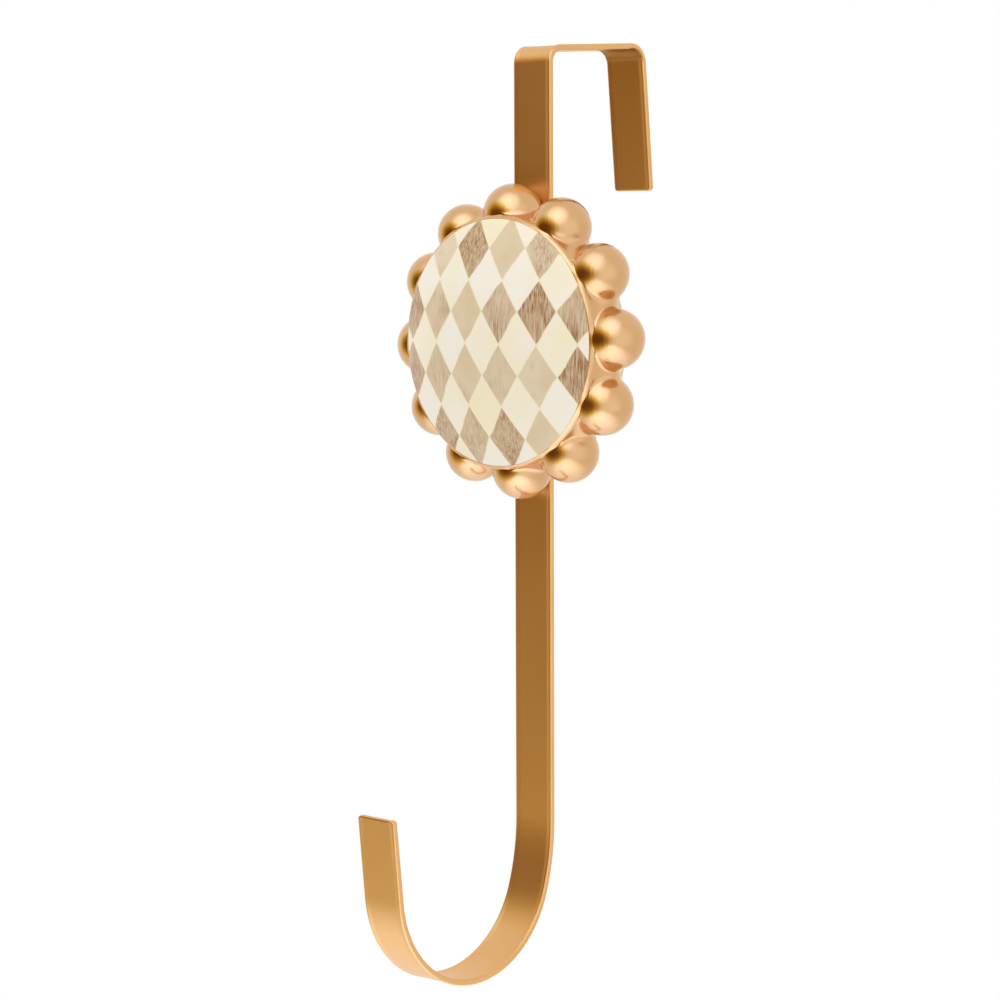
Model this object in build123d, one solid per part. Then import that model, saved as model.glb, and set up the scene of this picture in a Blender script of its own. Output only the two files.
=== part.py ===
from build123d import *
from math import cos, radians, sin, tan
import os

# Over-door wreath hanger: a bent flat bar with a beaded medallion screwed to its front.
# Millimetres. X runs across the bar, -Y faces the room, +Z is up. The origin lies on the
# door's face, in the middle of the bar, level with the top edge of the door.

# Bar
bar_width = 16.5
bar_thickness = 2.0
bar_edge_bevel = 0.3
bar_corner_round = 1.4

# Clip that goes over the door
door_gap = 46.0
front_bend_radius = 4.0
rear_bend_radius = 5.0
bridge_rise_deg = 3.2
tab_length = 44.0
tab_splay_deg = 5.4

# Hook that takes the wreath
hook_drop = 309.5
easing_radius = 74.0
easing_turn_deg = 19.0
hook_radius = 34.5
tip_flare_deg = 5.9
tip_length = 28.2

# Medallion's casting, with depths measured from its flat back
medallion_drop = 97.0
medallion_turn_deg = -2.5
casting_depth = 18.0
back_radius = 41.6
valley_radius = 44.3
valley_depth = 7.6
neck_radius = 42.4
neck_depth = 15.0
rim_radius = 42.3
lip_width = 1.2
lip_bevel = 0.4
seat_depth = 2.4

# Beads round the casting
bead_count = 12
bead_radius = 10.1
bead_ring_radius = 42.8
bead_depth = 7.2
bead_blend = 1.2
bead_seam_turn_deg = 80.0

# Domed face set into the casting
dome_clearance = 0.12
dome_edge_height = 2.0
dome_rise = 7.6

# Countersunk screws that hold the casting to the bar
screw_count = 2
screw_spacing = 40.0
screw_diameter = 3.0
screw_length = 12.0
screw_head_diameter = 5.6
screw_head_angle_deg = 90.0
screw_head_sink = 0.05
screw_tip_chamfer = 0.5
driver_slot_width = 0.9
driver_slot_length = 3.0
driver_slot_depth = 0.8
bar_hole_clearance = 0.2
pilot_clearance = 0.04
pilot_extra_depth = 1.5

# Stock that is cut away again
trim_stock = 10.0

medallion_centre = (0, -bar_thickness, -medallion_drop)
seat_radius = rim_radius - lip_width
screw_head_height = (screw_head_diameter - screw_diameter) / 2 / tan(radians(screw_head_angle_deg / 2))


def tangent_line(curve, length):
    """Straight run that carries on from the end of a curve."""
    return Line(curve @ 1, (curve @ 1) + (curve % 1) * length)


def clip_run():
    """Middle line of the bar from the top of the drop over the door and down behind it."""
    half = bar_thickness / 2
    rise = radians(bridge_rise_deg)
    splay = radians(tab_splay_deg)
    front_part = front_bend_radius * (1 - sin(rise))
    rear_part = rear_bend_radius * (sin(rise) + cos(splay))
    bridge_length = (door_gap - front_part - rear_part) / cos(rise)
    top_of_drop = (-half, -front_bend_radius * cos(rise))
    with BuildLine() as run:
        front_bend = JernArc(top_of_drop, (0, 1), front_bend_radius + half, bridge_rise_deg - 90)
        bridge = tangent_line(front_bend, bridge_length)
        rear_turn_deg = 90 + bridge_rise_deg - tab_splay_deg
        rear_bend = JernArc(bridge @ 1, bridge % 1, rear_bend_radius + half, -rear_turn_deg)
        tangent_line(rear_bend, tab_length)
    return run.edges(), top_of_drop


def hook_run(top_of_drop):
    """Middle line of the bar from the top of the drop down and round to the hook's tip."""
    half = bar_thickness / 2
    easing_fall = (easing_radius - hook_radius) * sin(radians(easing_turn_deg))
    end_of_drop = (-half, easing_fall + hook_radius + bar_thickness - hook_drop)
    with BuildLine() as run:
        drop = Line(top_of_drop, end_of_drop)
        easing = JernArc(drop @ 1, drop % 1, easing_radius + half, -easing_turn_deg)
        hook_turn_deg = 180 - tip_flare_deg - easing_turn_deg
        hook = JernArc(easing @ 1, easing % 1, hook_radius + half, -hook_turn_deg)
        tangent_line(hook, tip_length)
    return run.edges()


def screw_places():
    """Points on the bar's back where the screws go in, each facing out of the back."""
    middle = Plane(origin=(0, 0, -medallion_drop), x_dir=(1, 0, 0), z_dir=(0, 1, 0))
    return [middle * place for place in GridLocations(0, screw_spacing, 1, screw_count)]


def make_bar():
    clip_edges, top_of_drop = clip_run()
    run = Plane.YZ * Wire(clip_edges + hook_run(top_of_drop))
    with BuildPart() as bar:
        with BuildSketch(Plane(origin=run @ 0, x_dir=(1, 0, 0), z_dir=run % 0)):
            Rectangle(bar_width, bar_thickness)
        sweep(path=run)
        ends = bar.edges().filter_by(lambda edge: abs(edge.length - bar_thickness) < bar_thickness / 1000)
        fillet(ends, bar_corner_round)
        sides = bar.faces().filter_by(Axis.X)
        chamfer(sides.edges(), bar_edge_bevel)
        with Locations(*screw_places()):
            CounterSinkHole(
                radius=screw_diameter / 2 + bar_hole_clearance,
                counter_sink_radius=screw_head_diameter / 2 + screw_head_sink,
                counter_sink_angle=screw_head_angle_deg,
            )
    return bar.part


def turned_about_depth(outline):
    """Solid of revolution about the medallion's own axis, from an outline in the XY plane."""
    return revolve(outline, axis=Axis.Y)


def casting_stock():
    """Drum longer than the casting both ways, so that the blends close round each bead."""
    behind = trim_stock
    ahead = -casting_depth - trim_stock
    with BuildSketch() as outline:
        with BuildLine():
            flank = Spline(
                (back_radius - (valley_radius - back_radius), behind),
                (back_radius, 0),
                (valley_radius, -valley_depth),
                (neck_radius, -neck_depth),
                (rim_radius, -casting_depth),
                (rim_radius, ahead),
            )
            Polyline(flank @ 1, (0, ahead), (0, behind), flank @ 0)
        make_face()
    half_pitch_deg = 180 / bead_count
    return Rot(Y=medallion_turn_deg + half_pitch_deg) * turned_about_depth(outline.sketch)


def bead_ring():
    """The beads, each with its poles along the radius."""
    bead = Pos(0, -bead_depth, bead_ring_radius) * Rot(Z=bead_seam_turn_deg) * Sphere(bead_radius)
    pitch_deg = 360 / bead_count
    return [Rot(Y=medallion_turn_deg + pitch_deg * number) * bead for number in range(bead_count)]


def casting_envelope():
    """Flat back, and a front that leaves a thin bevelled lip standing round the dome's seat."""
    bevel_back = lip_bevel - casting_depth
    reach = bead_ring_radius + bead_radius + trim_stock
    with BuildSketch() as outline:
        with BuildLine():
            Polyline(
                (0, 0),
                (0, -casting_depth),
                (rim_radius - lip_bevel, -casting_depth),
                (rim_radius, bevel_back),
                (reach, bevel_back),
                (reach, 0),
                (0, 0),
            )
        make_face()
    return turned_about_depth(outline.sketch)


def dome_seat():
    """Round recess for the dome, open to the front."""
    with BuildSketch() as outline:
        with Locations((seat_radius / 2, -casting_depth)):
            Rectangle(seat_radius, 2 * seat_depth)
    return turned_about_depth(outline.sketch)


def make_casting():
    beaded = casting_stock().fuse(*bead_ring())
    joins = beaded.edges().filter_by(lambda edge: edge.is_closed and edge.geom_type == GeomType.BSPLINE)
    casting = (beaded.fillet(bead_blend, joins) & casting_envelope()) - dome_seat()
    casting = Pos(*medallion_centre) * casting
    pilot_depth = screw_length + pilot_extra_depth
    pilot = Cylinder(screw_diameter / 2 + pilot_clearance, 2 * pilot_depth)
    for place in screw_places():
        casting -= place * pilot
    return casting


def make_dome():
    """Flat disc whose front is rounded off by a large sphere."""
    radius = seat_radius - dome_clearance
    seat = seat_depth - casting_depth
    crown = seat - dome_edge_height - dome_rise
    crown_radius = (radius**2 + dome_rise**2) / (2 * dome_rise)
    disc = Cylinder(radius, seat - crown, align=(Align.CENTER, Align.CENTER, Align.MIN))
    ball = Sphere(crown_radius)
    dome = Pos(0, seat, 0) * Rot(X=90) * disc & Pos(0, crown + crown_radius, 0) * ball
    return Pos(*medallion_centre) * dome


def make_screw():
    """One screw along Z, its head's flat on the XY plane and its point down."""
    head = screw_head_diameter / 2
    shank = screw_diameter / 2
    with BuildPart() as screw:
        with BuildSketch(Plane.XZ):
            with BuildLine():
                Polyline(
                    (0, 0),
                    (head, 0),
                    (shank, -screw_head_height),
                    (shank, screw_tip_chamfer - screw_length),
                    (shank - screw_tip_chamfer, -screw_length),
                    (0, -screw_length),
                    (0, 0),
                )
            make_face()
        revolve(axis=Axis.Z)
        with BuildSketch():
            Rectangle(driver_slot_length, driver_slot_width)
            Rectangle(driver_slot_width, driver_slot_length)
        extrude(amount=-driver_slot_depth, mode=Mode.SUBTRACT)
    return screw.part


def make_screws():
    screw = Pos(0, 0, -screw_head_sink) * make_screw()
    return Compound(children=[place * screw for place in screw_places()])


os.makedirs("parts", exist_ok=True)
export_step(make_bar(), "parts/hanger_bar.step")
export_step(make_casting(), "parts/medallion_casting.step")
export_step(make_dome(), "parts/medallion_dome.step")
export_step(make_screws(), "parts/medallion_screws.step")
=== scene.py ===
from math import atan2, cos, degrees, pi, radians, sin, sqrt

import bmesh
import bpy
import numpy as np
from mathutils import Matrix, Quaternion, Vector


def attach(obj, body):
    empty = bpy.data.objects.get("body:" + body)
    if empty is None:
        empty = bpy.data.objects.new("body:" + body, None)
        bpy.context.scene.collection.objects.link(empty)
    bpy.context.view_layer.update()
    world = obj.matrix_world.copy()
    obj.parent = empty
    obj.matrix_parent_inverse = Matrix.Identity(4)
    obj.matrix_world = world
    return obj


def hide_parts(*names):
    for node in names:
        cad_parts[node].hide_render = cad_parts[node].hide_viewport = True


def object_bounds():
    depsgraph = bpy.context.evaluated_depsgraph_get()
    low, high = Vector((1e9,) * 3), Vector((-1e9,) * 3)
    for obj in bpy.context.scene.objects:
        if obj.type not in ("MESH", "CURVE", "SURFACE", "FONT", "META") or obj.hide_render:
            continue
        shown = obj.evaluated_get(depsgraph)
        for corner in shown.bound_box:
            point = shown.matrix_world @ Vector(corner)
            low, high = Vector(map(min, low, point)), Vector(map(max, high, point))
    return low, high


# Looks of the over-door wreath hanger. The object's lengths are in millimetres until a mesh is
# made, and the camera's and the studio's in metres. Angles are in degrees. X runs across the bar,
# -Y faces the room, +Z is up, and the door's top front edge is the origin.

MM = 0.001
SHARP_ANGLE = 35

# Bar, whose rims stand a little above its flats
BAR_WIDTH = 16.5
BAR_THICKNESS = 2.0
BAR_EDGE_ROUND = 0.55
BAR_RIM_RISE = 0.2
BAR_RIM_WIDTH = 1.8
BAR_RIM_MARGIN = 0.3
BAR_CORNER_ROUND = 1.4
DOOR_GAP = 46.0
FRONT_BEND_RADIUS = 4.0
REAR_BEND_RADIUS = 5.0
BRIDGE_RISE = 3.2
TAB_LENGTH = 44.0
TAB_SPLAY = 5.4
HOOK_DROP = 309.5
EASING_RADIUS = 74.0
EASING_TURN = 19.0
HOOK_RADIUS = 34.5
TIP_FLARE = 5.9
TIP_LENGTH = 28.2

# Medallion, with depths measured from its flat back
MEDALLION_DROP = 97.0
MEDALLION_TURN = -2.5
CASTING_DEPTH = 18.0
FLANK_DEPTHS = (0.0, 7.6, 15.0, 18.0)
FLANK_RADII = (41.6, 44.3, 42.4, 42.3)
LIP_WIDTH = 1.2
LIP_ROUND = 2.0
LIP_EDGE_ROUND = 0.05
SEAT_DEPTH = 2.4
SEAT_LEDGE = 2.0
BEAD_COUNT = 12
BEAD_RADIUS = 10.1
BEAD_RING_RADIUS = 42.8
BEAD_DEPTH = 7.2
BEAD_BLEND = 1.8
FRONT_BLEND = 0.8
BACK_EDGE_ROUND = 0.6
DOME_CLEARANCE = 0.02
DOME_EDGE_HEIGHT = 2.25
DOME_RISE = 7.35
DOME_EDGE_ROUND = 0.05

# Countersunk holes in the bar's back
SCREW_SPACING = 40.0
SCREW_HOLE_RADIUS = 1.7
COUNTERSINK_RADIUS = 2.85
DRILL_MARGIN = 0.1
DRILL_SIDES = 48

# Fineness of the bar's mesh
STRAIGHT_STEP = 20
END_LOOP = 1.0
TIP_LOOPS = (0.02, 0.08, 0.2, 0.35, 0.6)
BEND_STEP = 2.5
FEWEST_BEND_STEPS = 6
EDGE_STEPS = 4
RIM_STEPS = 6
ROUNDEST_SHARE = 0.9

# Rays that feel for the casting's skin, from a circle inside it
CORE_RADIUS = 36.0
CORE_DEPTH = 9.0
RAY_LENGTH = 30.0
RAY_HALVINGS = 40
LIP_REACH = 3.0
BACK_TILT = -75
FLANK_TILT = -50
BACK_RINGS = 16
FLANK_RINGS = 76
LIP_RINGS = 24
CASTING_STEPS = 480

# Fineness of the dome's mesh
DOME_STEPS = 288
DOME_RINGS = 60
DOME_EDGE_TURN = 70
DOME_EDGE_STEPS = 8
DOME_EDGE_GAP = 0.2
DOME_POLE = 0.4

# Gold paints, linear, each with a pair of colours that it wavers between
BAR_PAINT = {
    "colours": ((0.79, 0.455, 0.185), (0.73, 0.410, 0.155)),
    "roughness": 0.40,
    "coat": 0.0,
    "stretch": 0.03,
    "blotch_size": 30.0,
    "hairline_size": 0.5,
    "hairline_depth": 0.006,
}
CASTING_PAINT = {
    "colours": ((0.69, 0.405, 0.185), (0.65, 0.370, 0.160)),
    "roughness": 0.22,
    "coat": 0.3,
    "stretch": 0.15,
    "blotch_size": 12.0,
    "hairline_size": 0.8,
    "hairline_depth": 0.12,
}
FLAKE_SIZE = 0.12
BLOTCH_SHARE = 0.7
TONE_RANGE = (0.35, 0.65)
ROUGHNESS_WAVER = 0.03
HAIRLINE_STRENGTH = 0.35

# Painted shade inside the rear bend: a darker gold, with the gaps from its face and the heights over which
# it fades
PAINTED_SHADE_GOLD = (0.33, 0.145, 0.025)
PAINTED_SHADE_GAPS = (0.3, 0.6)
PAINTED_SHADE_HEIGHTS = (0.5, 2.5)

# Glaze on the dome, with noise scales per metre
CREAM = (0.95, 0.885, 0.765)
CREAM_WARM = (0.95, 0.84, 0.58)
TAUPE = (0.735, 0.58, 0.375)
TAUPE_LIGHT = (0.80, 0.665, 0.47)
BROWN = (0.33, 0.135, 0.035)
LOZENGE_WIDTH = 15.0
LOZENGE_HEIGHT = 21.0
WAVER = 1.6
WAVER_SCALE = 110.0
WASH_SCALE = 75.0
WASH_SHARE = 0.9
WASH_RANGE = (0.35, 0.65)
LOT_SHARE = 0.55
STREAK_SCALE = (1900.0, 1900.0, 90.0)
STREAK_ROUGHNESS = 0.6
STREAK_RANGE = (0.36, 0.62)
FAINTEST_STREAK = 0.2
BROWN_LOAD = (0.6, 1.0)
WARM_LOAD = (0.5, 1.0)
SEAM_RANGE = (0.47, 0.492)
SEAM_STRENGTH = 0.75
GLAZE_ROUGHNESS = 0.32
GLAZE_COAT = 0.25
GLAZE_COAT_ROUGHNESS = 0.12
STREAK_STRENGTH = 0.25
STREAK_DEPTH = 0.05

# Zinc on the screws
ZINC_DARK = (0.42, 0.42, 0.40)
ZINC_LIGHT = (0.62, 0.61, 0.58)
ZINC_SPOT = 0.4
ZINC_RANGE = (0.3, 0.7)
ZINC_ROUGHNESS = (0.28, 0.42)

# Camera at the photograph's angle
CAMERA_AZIMUTH = 42.98
CAMERA_ELEVATION = 5.34
CAMERA_DISTANCE = 0.9688
CAMERA_ROLL = -0.21
CAMERA_TARGET = Vector((-0.01505, -0.0020, -0.15172))
CAMERA_LENS = 101.77
CAMERA_SENSOR = 36.0
CLIP_START = 0.01
CLIP_END = 100

# Backdrop and floor
DIFFUSE_WHITE = 0.84
FLOOR_DROP = 0.6
FLOOR_RADIUS = 6.0
FLOOR_SIDES = 96
FLOOR_GREY = (0.92, 0.92, 0.92, 1)
FLOOR_ROUGHNESS = 0.9
GLOW_RANGE = (0.12, 0.42)

# Cards and lamp, placed by azimuth, elevation and distance from the medallion, or above the floor
SOFTBOX_COLOUR = (0.75, 1.0, 1.55)
FLAG = {"width": 3.0, "height": 1.8, "level": 0.055}
FLAG_PLACE = (-22, 1.0, 0.9)
FLAG_FADE = (0.2, 1.0)
FLAG_POWERS = (0.64, 1.0, 3.4)
KEY_BOX = {"width": 4.4, "height": 4.4, "strength": 1.12}
KEY_BOX_PLACE = (17, 46, 2.0)
SIDE_BOX = {"width": 4.4, "height": 4.4, "strength": 0.25}
SIDE_BOX_PLACE = (75, 0, 2.0)
BOUNCE_BOX = {"width": 2.6, "height": 4.0, "strength": 1.12}
BOUNCE_AZIMUTH = 27
BOUNCE_DISTANCE = 1.0
BOUNCE_LIFT = 0.03
SOFTBOX_FADE = (0.15, 1.0)
LAMP_PLACE = (21, 50, 1.4)
LAMP_SIZE = 1.0
LAMP_RADIANCE = 1.3

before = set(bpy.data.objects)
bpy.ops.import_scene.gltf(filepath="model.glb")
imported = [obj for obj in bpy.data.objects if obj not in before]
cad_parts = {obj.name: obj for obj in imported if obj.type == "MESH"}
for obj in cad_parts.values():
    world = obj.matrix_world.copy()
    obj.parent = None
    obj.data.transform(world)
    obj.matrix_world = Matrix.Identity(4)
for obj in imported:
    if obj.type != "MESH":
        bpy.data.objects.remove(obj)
cad_low, cad_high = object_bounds()


def direction(azimuth, elevation):
    """Unit vector from the object towards an azimuth and elevation."""
    turn, lift = radians(azimuth), radians(elevation)
    return Vector((sin(turn) * cos(lift), -cos(turn) * cos(lift), sin(lift)))


def add_piece(name, vertices, faces, material, node):
    """Mesh piece that stands for a node of the frame."""
    mesh = bpy.data.meshes.new(name)
    mesh.from_pydata([tuple(v) for v in np.asarray(vertices) * MM], [], faces)
    mesh.polygons.foreach_set("use_smooth", [True] * len(mesh.polygons))
    mesh.set_sharp_from_angle(angle=radians(SHARP_ANGLE))
    mesh.materials.append(material)
    piece = bpy.data.objects.new(name, mesh)
    bpy.context.scene.collection.objects.link(piece)
    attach(piece, "root")
    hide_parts(node)
    return piece


# Shader nodes


def add_node(tree, kind, **settings):
    """New shader node with attributes and named inputs set."""
    made = tree.nodes.new(kind)
    for key, value in settings.items():
        if hasattr(made, key):
            setattr(made, key, value)
        else:
            made.inputs[key].default_value = value
    return made


def feed(tree, socket, value):
    """Links a socket into an input, or sets the input to a number or colour."""
    if isinstance(value, bpy.types.NodeSocket):
        tree.links.new(value, socket)
    else:
        socket.default_value = value


def calculate(tree, operation, *values):
    """Result of a maths node fed by numbers or sockets."""
    made = add_node(tree, "ShaderNodeMath", operation=operation)
    for socket, value in zip(made.inputs, values):
        feed(tree, socket, value)
    return made.outputs[0]


def mix_colour(tree, factor, low, high):
    """Colour between two colours or colour sockets."""
    made = add_node(tree, "ShaderNodeMix", data_type="RGBA")
    factor_in, low_in, high_in = made.inputs[0], made.inputs[6], made.inputs[7]
    feed(tree, factor_in, factor)
    for socket, colour in ((low_in, low), (high_in, high)):
        feed(tree, socket, (*colour, 1) if isinstance(colour, tuple) else colour)
    return made.outputs[2]


def spread(tree, value, span, reach=(0.0, 1.0), curve="LINEAR"):
    """Value moved from a span to a reach and clamped to that."""
    made = add_node(tree, "ShaderNodeMapRange", interpolation_type=curve)
    for socket, number in zip(made.inputs, (value, *span, *reach)):
        feed(tree, socket, number)
    return made.outputs[0]


def weigh(tree, first, first_share, second, second_share):
    """Sum of two values, each times its share."""
    first = calculate(tree, "MULTIPLY", first, first_share)
    second = calculate(tree, "MULTIPLY", second, second_share)
    return calculate(tree, "ADD", first, second)


def position(tree, scale=None, shift=(0, 0, 0)):
    """Place on a piece in metres, or that place scaled and then shifted."""
    place = add_node(tree, "ShaderNodeTexCoord").outputs["Object"]
    if scale is None:
        return place
    made = add_node(tree, "ShaderNodeVectorMath", operation="MULTIPLY_ADD")
    tree.links.new(place, made.inputs[0])
    made.inputs[1].default_value = scale
    made.inputs[2].default_value = shift
    return made.outputs[0]


def length_of(tree, vector):
    """Length of a vector socket."""
    made = add_node(tree, "ShaderNodeVectorMath", operation="LENGTH")
    tree.links.new(vector, made.inputs[0])
    return made.outputs["Value"]


def axes_of(tree, vector):
    """Sockets for the x, y and z of a vector socket."""
    made = add_node(tree, "ShaderNodeSeparateXYZ")
    tree.links.new(vector, made.inputs[0])
    return made.outputs


def noise(tree, vector, scale, detail=2.0, roughness=0.5):
    """Value of a noise texture."""
    made = add_node(tree, "ShaderNodeTexNoise", Scale=scale, Detail=detail, Roughness=roughness)
    tree.links.new(vector, made.inputs["Vector"])
    return made.outputs[0]


def add_bump(tree, shader, height, strength, depth):
    """Relief of a depth in millimetres."""
    bump = add_node(tree, "ShaderNodeBump", Strength=strength, Distance=depth * MM)
    tree.links.new(height, bump.inputs["Height"])
    tree.links.new(bump.outputs[0], shader.inputs["Normal"])


def new_material(name):
    """Material with a Principled shader, and its tree."""
    made = bpy.data.materials.new(name)
    made.use_nodes = True
    tree = made.node_tree
    return made, tree, tree.nodes["Principled BSDF"]


# Materials


def inside_rear_bend(tree):
    """1 on the inner face of the rear bend, down to where that face turns upright: the mask for the
    painted shade there.
    """
    centre_y, centre_z = rear_bend_centre()
    place = position(tree, (0, 1 / MM, 1 / MM), (0, -centre_y, -centre_z))
    ring = [REAR_BEND_RADIUS + gap for gap in PAINTED_SHADE_GAPS]
    inner = spread(tree, length_of(tree, place), ring, (1.0, 0.0))
    return calculate(tree, "MULTIPLY", inner, spread(tree, axes_of(tree, place)[2], PAINTED_SHADE_HEIGHTS))


def gold_paint(
    name, colours, roughness, coat, stretch, blotch_size, hairline_size, hairline_depth, painted_shade_in_bend=False
):
    """Satin metallic paint with fine flake, a slow change of tone and upright hairlines, and where asked,
    painted shade inside the rear bend.
    """
    made, tree, shader = new_material(name)
    place = position(tree)
    blotch = noise(tree, place, 1 / (blotch_size * MM), detail=3.0)
    flake = noise(tree, place, 1 / (FLAKE_SIZE * MM), detail=1.0)
    tone = spread(tree, weigh(tree, blotch, BLOTCH_SHARE, flake, 1 - BLOTCH_SHARE), TONE_RANGE)
    colour = mix_colour(tree, tone, colours[1], colours[0])
    # Painted shade: the inside of the rear bend gets a darker gold in its colour.
    if painted_shade_in_bend:
        colour = mix_colour(tree, inside_rear_bend(tree), colour, PAINTED_SHADE_GOLD)
    tree.links.new(colour, shader.inputs["Base Color"])
    shader.inputs["Metallic"].default_value = 1.0
    shader.inputs["Coat Weight"].default_value = coat
    shader.inputs["Coat Roughness"].default_value = roughness
    rough = spread(tree, tone, (0.0, 1.0), (roughness + ROUGHNESS_WAVER, roughness - ROUGHNESS_WAVER))
    tree.links.new(rough, shader.inputs["Roughness"])
    drawn = position(tree, (1.0, stretch, stretch))
    hairlines = noise(tree, drawn, 1 / (hairline_size * MM), detail=3.0)
    add_bump(tree, shader, hairlines, HAIRLINE_STRENGTH, hairline_depth)
    return made


def lozenge_count(tree):
    """Lozenges counted along both slanting directions, a little wavy as if drawn by hand."""
    waver = calculate(tree, "SUBTRACT", noise(tree, position(tree), WAVER_SCALE), 0.5)
    waver = calculate(tree, "MULTIPLY", waver, WAVER)
    place = axes_of(tree, position(tree, (1 / MM, 1 / MM, 1 / MM), (0, 0, MEDALLION_DROP)))
    across = calculate(tree, "DIVIDE", calculate(tree, "ADD", place[0], waver), LOZENGE_WIDTH)
    up = calculate(tree, "DIVIDE", calculate(tree, "SUBTRACT", place[2], waver), LOZENGE_HEIGHT)
    counts = calculate(tree, "ADD", across, up), calculate(tree, "SUBTRACT", across, up)
    return [calculate(tree, "ADD", count, 0.5) for count in counts]


def lot_of(tree, row, column):
    """Number from 0 to 1 drawn for each lozenge."""
    cell = add_node(tree, "ShaderNodeCombineXYZ")
    tree.links.new(row, cell.inputs[0])
    tree.links.new(column, cell.inputs[1])
    lot = add_node(tree, "ShaderNodeTexWhiteNoise")
    tree.links.new(cell.outputs[0], lot.inputs["Vector"])
    return lot.outputs[0]


def from_middle(tree, count):
    """Distance from the middle of a lozenge along one direction, as a share of its size."""
    part = calculate(tree, "SUBTRACT", calculate(tree, "FRACT", count), 0.5)
    return calculate(tree, "ABSOLUTE", part)


def glaze_paint():
    """Hand-coloured lozenges with brown brush strokes under a satin glaze."""
    made, tree, shader = new_material("glaze_paint")
    rising, falling = lozenge_count(tree)
    row, column = calculate(tree, "FLOOR", rising), calculate(tree, "FLOOR", falling)
    parity = calculate(tree, "FLOORED_MODULO", calculate(tree, "ADD", row, column), 2.0)

    streak = noise(tree, position(tree, STREAK_SCALE), 1.0, detail=4.0, roughness=STREAK_ROUGHNESS)
    wash = noise(tree, position(tree), WASH_SCALE)
    load = weigh(tree, lot_of(tree, row, column), LOT_SHARE, wash, WASH_SHARE)
    strokes = spread(tree, streak, STREAK_RANGE, (FAINTEST_STREAK, 1.0))
    strokes = calculate(tree, "MULTIPLY", strokes, spread(tree, load, BROWN_LOAD))
    taupe = mix_colour(tree, spread(tree, wash, WASH_RANGE), TAUPE, TAUPE_LIGHT)
    taupe = mix_colour(tree, strokes, taupe, BROWN)
    cream = mix_colour(tree, spread(tree, load, WARM_LOAD), CREAM, CREAM_WARM)
    painted = mix_colour(tree, parity, cream, taupe)

    edge = calculate(tree, "MAXIMUM", from_middle(tree, rising), from_middle(tree, falling))
    painted = mix_colour(tree, spread(tree, edge, SEAM_RANGE, (0.0, SEAM_STRENGTH)), painted, CREAM_WARM)
    tree.links.new(painted, shader.inputs["Base Color"])
    shader.inputs["Roughness"].default_value = GLAZE_ROUGHNESS
    shader.inputs["Coat Weight"].default_value = GLAZE_COAT
    shader.inputs["Coat Roughness"].default_value = GLAZE_COAT_ROUGHNESS
    add_bump(tree, shader, streak, STREAK_STRENGTH, STREAK_DEPTH)
    return made


def screw_steel():
    """Zinc-plated steel with a spotty tone."""
    made, tree, shader = new_material("screw_steel")
    tone = noise(tree, position(tree), 1 / (ZINC_SPOT * MM), detail=3.0)
    tree.links.new(mix_colour(tree, tone, ZINC_DARK, ZINC_LIGHT), shader.inputs["Base Color"])
    shader.inputs["Metallic"].default_value = 1.0
    tree.links.new(spread(tree, tone, ZINC_RANGE, ZINC_ROUGHNESS), shader.inputs["Roughness"])
    return made


# Bar


def straight(y, z, heading, travelled, length):
    """Stations along a straight, with one close to each end, so that the shading stays flat."""
    between = np.linspace(0, length, max(2, int(length / STRAIGHT_STEP)) + 1)[1:-1]
    stations = []
    for place in (END_LOOP, *between, length - END_LOOP, length):
        stations.append((y + place * cos(heading), z + place * sin(heading), heading, travelled + place))
    return stations


def bend(y, z, heading, travelled, radius, turn):
    """Stations round a bend that turns to the left where the turn is above 0."""
    swing = radians(turn)
    steps = max(FEWEST_BEND_STEPS, round(abs(turn) / BEND_STEP))
    side = 1 if turn > 0 else -1
    centre_y = y - side * radius * sin(heading)
    centre_z = z + side * radius * cos(heading)
    stations = []
    for step in range(1, steps + 1):
        angle = heading + swing * step / steps
        stations.append((
            centre_y + side * radius * sin(angle),
            centre_z - side * radius * cos(angle),
            angle,
            travelled + abs(swing) * radius * step / steps,
        ))
    return stations


def walk(start, heading, moves):
    """Stations (y, z, heading, distance) along moves, each straight or a bend with its sizes."""
    stations = [(*start, heading, 0.0)]
    for move, *sizes in moves:
        stations += move(*stations[-1], *sizes)
    return stations


def bridge_length():
    """Straight part of the bridge between its bends."""
    rise = radians(BRIDGE_RISE)
    front_part = FRONT_BEND_RADIUS * (1 - sin(rise))
    rear_part = REAR_BEND_RADIUS * (sin(rise) + cos(radians(TAB_SPLAY)))
    return (DOOR_GAP - front_part - rear_part) / cos(rise)


def rear_bend_centre():
    """Centre (y, z) of the bend between the bridge and the tab."""
    rise = radians(BRIDGE_RISE)
    y = DOOR_GAP - REAR_BEND_RADIUS * cos(radians(TAB_SPLAY))
    z = bridge_length() * sin(rise) - REAR_BEND_RADIUS * cos(rise)
    return y, z


def bar_stations():
    """Middle line of the bar from the rear tab's end over the door and down to the hook's tip."""
    half = BAR_THICKNESS / 2
    top = (-half, -FRONT_BEND_RADIUS * cos(radians(BRIDGE_RISE)))
    clip = walk(top, radians(90), [
        (bend, FRONT_BEND_RADIUS + half, BRIDGE_RISE - 90),
        (straight, bridge_length()),
        (bend, REAR_BEND_RADIUS + half, TAB_SPLAY - 90 - BRIDGE_RISE),
        (straight, TAB_LENGTH),
    ])
    easing_fall = (EASING_RADIUS - HOOK_RADIUS) * sin(radians(EASING_TURN))
    drop_end = easing_fall + HOOK_RADIUS + BAR_THICKNESS - HOOK_DROP
    hook = walk(top, radians(-90), [
        (straight, top[1] - drop_end),
        (bend, EASING_RADIUS + half, -EASING_TURN),
        (bend, HOOK_RADIUS + half, EASING_TURN + TIP_FLARE - 180),
        (straight, TIP_LENGTH),
    ])
    over = [(y, z, heading + pi, -distance) for y, z, heading, distance in reversed(clip[1:])]
    return over + hook


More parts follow.
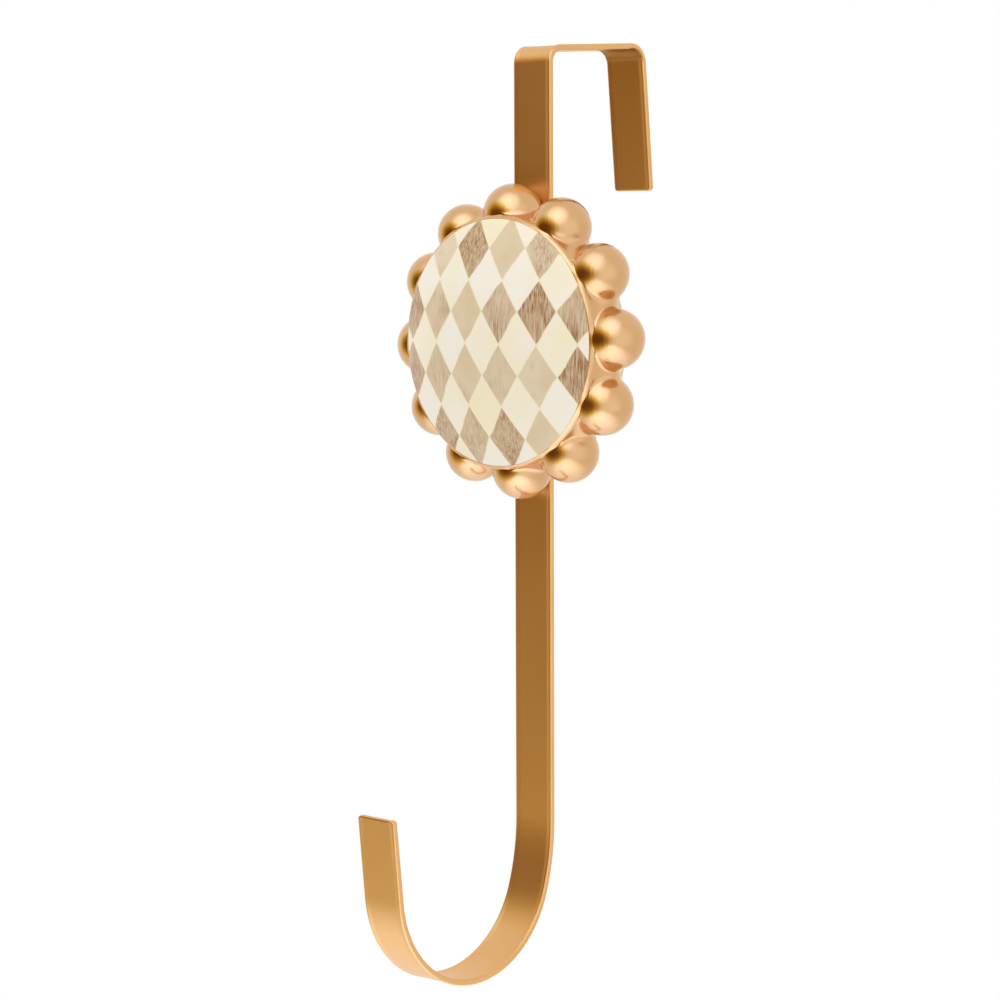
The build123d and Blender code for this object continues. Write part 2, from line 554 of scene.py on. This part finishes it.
def with_tip_loops(stations):
    """Stations with more of them close to both tips, where the bar's outline shrinks."""
    first, last = stations[0][3], stations[-1][3]
    extra = []
    for distance in [first + gap for gap in TIP_LOOPS] + [last - gap for gap in TIP_LOOPS]:
        y, z, heading, travelled = min(stations, key=lambda station: abs(station[3] - distance))
        move = distance - travelled
        extra.append((y + move * cos(heading), z + move * sin(heading), heading, distance))
    return sorted(stations + extra, key=lambda station: station[3])


def bar_section(half_width, half_thickness):
    """Outline of the bar across its run, with round corners and raised rims."""
    round_size = min(BAR_EDGE_ROUND, half_thickness * ROUNDEST_SHARE)
    rise = BAR_RIM_RISE * half_thickness * 2 / BAR_THICKNESS
    rim_end = half_width - round_size
    outline = []
    for corner, (side, face) in enumerate(((1, 1), (-1, 1), (-1, -1), (1, -1))):
        edge = []
        for step in range(EDGE_STEPS + 1):
            angle = radians(90 * (corner + step / EDGE_STEPS))
            edge.append((
                side * rim_end + round_size * cos(angle),
                face * (half_thickness - round_size) + round_size * sin(angle),
            ))
        rim = []
        for step in range(1, RIM_STEPS + 1):
            share = step / RIM_STEPS
            fall = rise * (1 - cos(pi * share)) / 2
            rim.append((side * (rim_end - BAR_RIM_WIDTH * share), face * (half_thickness - fall)))
        flat_start = rim_end - BAR_RIM_WIDTH - BAR_RIM_MARGIN
        rim.append((side * flat_start, face * (half_thickness - rise)))
        outline += edge + rim if side == face else rim[::-1] + edge
    return outline


def end_fade(distance, round_size, full):
    """Half size that an end with rounded corners has at a distance from the tip."""
    if distance >= round_size:
        return full
    return full - round_size + sqrt(round_size**2 - (round_size - distance) ** 2)


def make_bar(material):
    """The bar as one skin along its stations, drilled for the screws."""
    stations = with_tip_loops(bar_stations())
    first, last = stations[0][3], stations[-1][3]
    vertices, faces = [], []
    for y, z, heading, distance in stations:
        tip = min(distance - first, last - distance)
        half_width = end_fade(tip, BAR_CORNER_ROUND, BAR_WIDTH / 2)
        half_thickness = end_fade(tip, BAR_EDGE_ROUND, BAR_THICKNESS / 2)
        for across, out in bar_section(half_width, half_thickness):
            vertices.append((across, y - out * sin(heading), z + out * cos(heading)))
    count = len(vertices) // len(stations)
    for row in range(len(stations) - 1):
        for k in range(count):
            a, b = row * count + k, row * count + (k + 1) % count
            faces.append((a, b, b + count, a + count))
    faces.append(tuple(reversed(range(count))))
    faces.append(tuple(range(len(vertices) - count, len(vertices))))
    drill_screw_holes(add_piece("painted_bar", vertices, faces, material, "hanger_bar"))


def make_drill(height):
    """Cutter for one countersunk hole at a height."""
    rings = [
        (DRILL_MARGIN, COUNTERSINK_RADIUS + DRILL_MARGIN),
        (SCREW_HOLE_RADIUS - COUNTERSINK_RADIUS, SCREW_HOLE_RADIUS),
        (-BAR_THICKNESS - 2 * DRILL_MARGIN, SCREW_HOLE_RADIUS),
    ]
    bm = bmesh.new()
    loops = []
    for y, radius in rings:
        angles = [2 * pi * k / DRILL_SIDES for k in range(DRILL_SIDES)]
        places = [Vector((radius * cos(angle), y, radius * sin(angle) + height)) for angle in angles]
        loops.append([bm.verts.new(place * MM) for place in places])
    for low, high in zip(loops, loops[1:]):
        for k in range(DRILL_SIDES):
            n = (k + 1) % DRILL_SIDES
            bm.faces.new((low[k], low[n], high[n], high[k]))
    bm.faces.new(loops[0][::-1])
    bm.faces.new(loops[-1])
    bmesh.ops.recalc_face_normals(bm, faces=bm.faces)
    mesh = bpy.data.meshes.new("drill")
    bm.to_mesh(mesh)
    bm.free()
    drill = bpy.data.objects.new("drill", mesh)
    bpy.context.scene.collection.objects.link(drill)
    return drill


def drill_screw_holes(piece):
    """Cuts the countersunk holes through the bar."""
    for side in (-1, 1):
        drill = make_drill(side * SCREW_SPACING / 2 - MEDALLION_DROP)
        cut = piece.modifiers.new("cut", "BOOLEAN")
        cut.object = drill
        cut.operation = "DIFFERENCE"
        cut.solver = "EXACT"
        bpy.context.view_layer.update()
        evaluated = piece.evaluated_get(bpy.context.evaluated_depsgraph_get())
        done = bpy.data.meshes.new_from_object(evaluated)
        piece.modifiers.clear()
        piece.data = done
        bpy.data.objects.remove(drill)
    piece.data.set_sharp_from_angle(angle=radians(SHARP_ANGLE))


# Medallion


def smooth_curve(x, knots, values):
    """Cubic Hermite curve through knots."""
    knots, values = np.asarray(knots), np.asarray(values)
    slopes = np.gradient(values, knots)
    k = np.clip(np.searchsorted(knots, x) - 1, 0, len(knots) - 2)
    gap = knots[k + 1] - knots[k]
    t = np.clip((x - knots[k]) / gap, 0, 1)
    return (
        values[k] * (2 * t**3 - 3 * t**2 + 1)
        + gap * slopes[k] * (t**3 - 2 * t**2 + t)
        + values[k + 1] * (3 * t**2 - 2 * t**3)
        + gap * slopes[k + 1] * (t**3 - t**2)
    )


def soft_min(a, b, blend):
    """Lesser of two distances, rounded where they are within a blend of each other."""
    near = np.maximum(blend - np.abs(a - b), 0) / blend
    return np.minimum(a, b) - near**2 * blend / 4


def lip_height(radius):
    """Depth that the rounded lip reaches at a radius."""
    shoulder = np.clip((radius - FLANK_RADII[-1]) / LIP_ROUND + 1, 0, 1)
    return CASTING_DEPTH - LIP_ROUND * (1 - np.sqrt(1 - shoulder**2))


def casting_field(radius, depth, angle):
    """Rough distance outside the casting at a radius, a depth and an angle round its axis."""
    drum = radius - smooth_curve(depth, FLANK_DEPTHS, FLANK_RADII)
    drum = np.maximum(drum, depth - lip_height(radius))
    pitch = 2 * pi / BEAD_COUNT
    off = (angle - radians(MEDALLION_TURN) + pitch / 2) % pitch - pitch / 2
    beads = None
    for neighbour in (-1, 0, 1):
        swing = off + neighbour * pitch
        apart = radius**2 + BEAD_RING_RADIUS**2 - 2 * radius * BEAD_RING_RADIUS * np.cos(swing)
        bead = np.sqrt(apart + (depth - BEAD_DEPTH) ** 2) - BEAD_RADIUS
        beads = bead if beads is None else soft_min(beads, bead, BEAD_BLEND)
    front = np.clip((depth - BEAD_DEPTH) / (CASTING_DEPTH - BEAD_DEPTH), 0, 1)
    body = soft_min(drum, beads, BEAD_BLEND + (FRONT_BLEND - BEAD_BLEND) * front**2)
    return -soft_min(-body, depth, BACK_EDGE_ROUND)


def casting_rings(angles):
    """Rings (radius, depth) of the casting's skin from its back, round the beads and over the lip."""
    rim = FLANK_RADII[-1]
    edge = rim - LIP_WIDTH + LIP_EDGE_ROUND
    lip_start = degrees(atan2(CASTING_DEPTH - LIP_REACH - CORE_DEPTH, rim - CORE_RADIUS))
    lip_end = degrees(atan2(lip_height(edge) - CORE_DEPTH, edge - CORE_RADIUS))
    tilts = np.radians(np.concatenate([
        np.linspace(BACK_TILT, FLANK_TILT, BACK_RINGS, endpoint=False),
        np.linspace(FLANK_TILT, lip_start, FLANK_RINGS, endpoint=False),
        np.linspace(lip_start, lip_end, LIP_RINGS),
    ]))
    tilt, angle = np.meshgrid(tilts, angles, indexing="ij")
    inside = np.zeros_like(tilt)
    outside = np.full_like(tilt, RAY_LENGTH)
    for _ in range(RAY_HALVINGS):
        reach = (inside + outside) / 2
        field = casting_field(CORE_RADIUS + reach * np.cos(tilt), CORE_DEPTH + reach * np.sin(tilt), angle)
        inside = np.where(field < 0, reach, inside)
        outside = np.where(field < 0, outside, reach)
    return CORE_RADIUS + inside * np.cos(tilt), CORE_DEPTH + inside * np.sin(tilt)


def turned_mesh(radii, depths, angles):
    """Closed mesh from rings of points round the medallion's axis, with a centre point at each end."""
    rings, steps = radii.shape
    x = radii * np.sin(angles)
    y = -BAR_THICKNESS - depths
    z = radii * np.cos(angles) - MEDALLION_DROP
    vertices = np.stack([x, y, z], axis=-1).reshape(-1, 3).tolist()
    vertices.append((0, -BAR_THICKNESS - depths[0].mean(), -MEDALLION_DROP))
    vertices.append((0, -BAR_THICKNESS - depths[-1].mean(), -MEDALLION_DROP))
    start, end = rings * steps, rings * steps + 1
    last = (rings - 1) * steps
    faces = []
    for ring in range(rings - 1):
        for k in range(steps):
            n = (k + 1) % steps
            a, b = ring * steps, (ring + 1) * steps
            faces.append((a + k, b + k, b + n, a + n))
    for k in range(steps):
        n = (k + 1) % steps
        faces.append((start, k, n))
        faces.append((end, last + n, last + k))
    return vertices, faces


def make_casting(material):
    """The casting's skin, closed by the wall and floor of the dome's seat."""
    angles = np.linspace(0, 2 * pi, CASTING_STEPS, endpoint=False)
    radii, depths = casting_rings(angles)
    seat_radius = FLANK_RADII[-1] - LIP_WIDTH
    floor = CASTING_DEPTH - SEAT_DEPTH
    seat = [
        (seat_radius, lip_height(seat_radius) - LIP_EDGE_ROUND),
        (seat_radius, floor),
        (seat_radius - SEAT_LEDGE, floor),
    ]
    for radius, depth in seat:
        radii = np.vstack([radii, np.full_like(angles, radius)])
        depths = np.vstack([depths, np.full_like(angles, depth)])
    vertices, faces = turned_mesh(radii, depths, angles)
    add_piece("cast_medallion", vertices, faces, material, "medallion_casting")


def make_dome(material):
    """The dome, from its flat back round a barely rounded edge to the crown."""
    angles = np.linspace(0, 2 * pi, DOME_STEPS, endpoint=False)
    edge_radius = FLANK_RADII[-1] - LIP_WIDTH - DOME_CLEARANCE
    seat = CASTING_DEPTH - SEAT_DEPTH
    edge = seat + DOME_EDGE_HEIGHT
    crown_radius = (edge_radius**2 + DOME_RISE**2) / (2 * DOME_RISE)
    profile = [(edge_radius - SEAT_LEDGE, seat), (edge_radius, seat)]
    for angle in np.radians(np.linspace(0, DOME_EDGE_TURN, DOME_EDGE_STEPS)):
        profile.append((
            edge_radius - DOME_EDGE_ROUND * (1 - cos(angle)),
            edge - DOME_EDGE_ROUND * (1 - sin(angle)),
        ))
    for radius in np.linspace(profile[-1][0] - DOME_EDGE_GAP, DOME_POLE, DOME_RINGS):
        profile.append((radius, edge + DOME_RISE - crown_radius + sqrt(crown_radius**2 - radius**2)))
    radii = np.array([[radius] * len(angles) for radius, _ in profile])
    depths = np.array([[depth] * len(angles) for _, depth in profile])
    vertices, faces = turned_mesh(radii, depths, angles)
    add_piece("glazed_dome", vertices, faces, material, "medallion_dome")


# Studio


def make_camera():
    """Camera at the photograph's angle, with its slight roll."""
    data = bpy.data.cameras.new("camera")
    data.lens = CAMERA_LENS
    data.sensor_width = CAMERA_SENSOR
    data.clip_start = CLIP_START
    data.clip_end = CLIP_END
    camera = bpy.data.objects.new("camera", data)
    back = direction(CAMERA_AZIMUTH, CAMERA_ELEVATION)
    camera.location = CAMERA_TARGET + back * CAMERA_DISTANCE
    roll = Quaternion(back, radians(CAMERA_ROLL))
    camera.rotation_euler = (roll @ (-back).to_track_quat("-Z", "Y")).to_euler()
    bpy.context.scene.collection.objects.link(camera)
    bpy.context.scene.camera = camera


def shown_rays(tree):
    """1 for camera, glossy and transmission rays."""
    path = add_node(tree, "ShaderNodeLightPath")
    seen = calculate(tree, "MAXIMUM", path.outputs["Is Camera Ray"], path.outputs["Is Glossy Ray"])
    return calculate(tree, "MAXIMUM", seen, path.outputs["Is Transmission Ray"])


def make_world():
    """White backdrop that lights the object a little less than it shows."""
    world = bpy.data.worlds.new("studio")
    world.use_nodes = True
    tree = world.node_tree
    background = tree.nodes["Background"]
    background.inputs["Color"].default_value = (1, 1, 1, 1)
    strength = spread(tree, shown_rays(tree), (0.0, 1.0), (DIFFUSE_WHITE, 1.0))
    tree.links.new(strength, background.inputs["Strength"])
    bpy.context.scene.world = world


def add_flat(name, corners):
    """Flat object with one face, from corners in metres round its own origin."""
    mesh = bpy.data.meshes.new(name)
    mesh.from_pydata([(x, y, 0) for x, y in corners], [], [tuple(range(len(corners)))])
    flat = bpy.data.objects.new(name, mesh)
    bpy.context.scene.collection.objects.link(flat)
    return flat


def make_floor():
    """Pale floor that keeps the shadow below the hanger and fades into the backdrop."""
    angles = [2 * pi * k / FLOOR_SIDES for k in range(FLOOR_SIDES)]
    floor = add_flat("floor", [(FLOOR_RADIUS * cos(angle), FLOOR_RADIUS * sin(angle)) for angle in angles])
    floor.location = (0, 0, cad_low.z - FLOOR_DROP)
    made, tree, shader = new_material("floor_paint")
    shader.inputs["Base Color"].default_value = FLOOR_GREY
    shader.inputs["Roughness"].default_value = FLOOR_ROUGHNESS
    fade = spread(tree, length_of(tree, position(tree)), GLOW_RANGE)
    fade = calculate(tree, "MULTIPLY", fade, shown_rays(tree))
    glow = add_node(tree, "ShaderNodeEmission", Strength=1.0)
    blend = add_node(tree, "ShaderNodeMixShader")
    tree.links.new(fade, blend.inputs[0])
    tree.links.new(shader.outputs[0], blend.inputs[1])
    tree.links.new(glow.outputs[0], blend.inputs[2])
    tree.links.new(blend.outputs[0], tree.nodes["Material Output"].inputs[0])
    floor.data.materials.append(made)


def aim(item, azimuth, elevation, distance):
    """Places a lamp or card round the medallion and turns it to face that."""
    away = direction(azimuth, elevation)
    item.location = Vector((0, 0, -MEDALLION_DROP * MM)) + away * distance
    item.rotation_euler = away.to_track_quat("Z", "Y").to_euler()


def make_lamp(name, size, radiance):
    """Soft square lamp of a given brightness, which reflections don't show."""
    data = bpy.data.lights.new(name, "AREA")
    data.shape = "SQUARE"
    data.size = size
    data.energy = radiance * pi * size**2
    lamp = bpy.data.objects.new(name, data)
    lamp.visible_camera = False
    lamp.visible_glossy = False
    bpy.context.scene.collection.objects.link(lamp)
    return lamp


def make_card(name, width, height):
    """Card that only shiny surfaces see, its tree, and a value that grows from 0 in its middle."""
    corners = ((-1, -1), (1, -1), (1, 1), (-1, 1))
    card = add_flat(name, [(x * width / 2, y * height / 2) for x, y in corners])
    card.visible_camera = False
    card.visible_diffuse = False
    card.visible_shadow = False
    made, tree, shader = new_material(name)
    tree.nodes.remove(shader)
    card.data.materials.append(made)
    return card, tree, length_of(tree, position(tree, (2 / width, 2 / height, 0)))


def make_flag(name, width, height, level):
    """Brown gauze that darkens what shines through its middle."""
    card, tree, reach = make_card(name, width, height)
    shade = spread(tree, reach, FLAG_FADE, (level, 1.0), "SMOOTHSTEP")
    colour = add_node(tree, "ShaderNodeCombineColor")
    for channel, power in zip(colour.inputs, FLAG_POWERS):
        tree.links.new(calculate(tree, "POWER", shade, power), channel)
    gauze = add_node(tree, "ShaderNodeBsdfTransparent")
    tree.links.new(colour.outputs[0], gauze.inputs["Color"])
    tree.links.new(gauze.outputs[0], tree.nodes["Material Output"].inputs[0])
    return card


def make_softbox(name, width, height, strength):
    """Cool soft light without an edge, brightest in its middle."""
    card, tree, reach = make_card(name, width, height)
    glow = add_node(tree, "ShaderNodeEmission", Color=(*SOFTBOX_COLOUR, 1))
    fade = spread(tree, reach, SOFTBOX_FADE, (strength, 0.0), "SMOOTHSTEP")
    tree.links.new(fade, glow.inputs["Strength"])
    clear = add_node(tree, "ShaderNodeBsdfTransparent")
    both = add_node(tree, "ShaderNodeAddShader")
    tree.links.new(glow.outputs[0], both.inputs[0])
    tree.links.new(clear.outputs[0], both.inputs[1])
    tree.links.new(both.outputs[0], tree.nodes["Material Output"].inputs[0])
    return card


def make_lights():
    """Dark flag in front, softboxes above, at the side and on the floor, and the one lamp."""
    aim(make_flag("flag", **FLAG), *FLAG_PLACE)
    aim(make_softbox("key_box", **KEY_BOX), *KEY_BOX_PLACE)
    aim(make_softbox("side_box", **SIDE_BOX), *SIDE_BOX_PLACE)
    bounce = make_softbox("bounce_box", **BOUNCE_BOX)
    above_floor = Vector((0, 0, cad_low.z - FLOOR_DROP + BOUNCE_LIFT))
    bounce.location = above_floor + direction(BOUNCE_AZIMUTH, 0) * BOUNCE_DISTANCE
    bounce.rotation_euler = (0, 0, radians(BOUNCE_AZIMUTH))
    aim(make_lamp("key_lamp", LAMP_SIZE, LAMP_RADIANCE), *LAMP_PLACE)


make_bar(gold_paint("bar_paint", **BAR_PAINT, painted_shade_in_bend=True))
make_casting(gold_paint("casting_paint", **CASTING_PAINT))
make_dome(glaze_paint())
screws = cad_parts["medallion_screws"]
screws.data.materials.clear()
screws.data.materials.append(screw_steel())

make_world()
make_floor()
make_lights()
make_camera()
bpy.context.scene.view_settings.view_transform = "Standard"
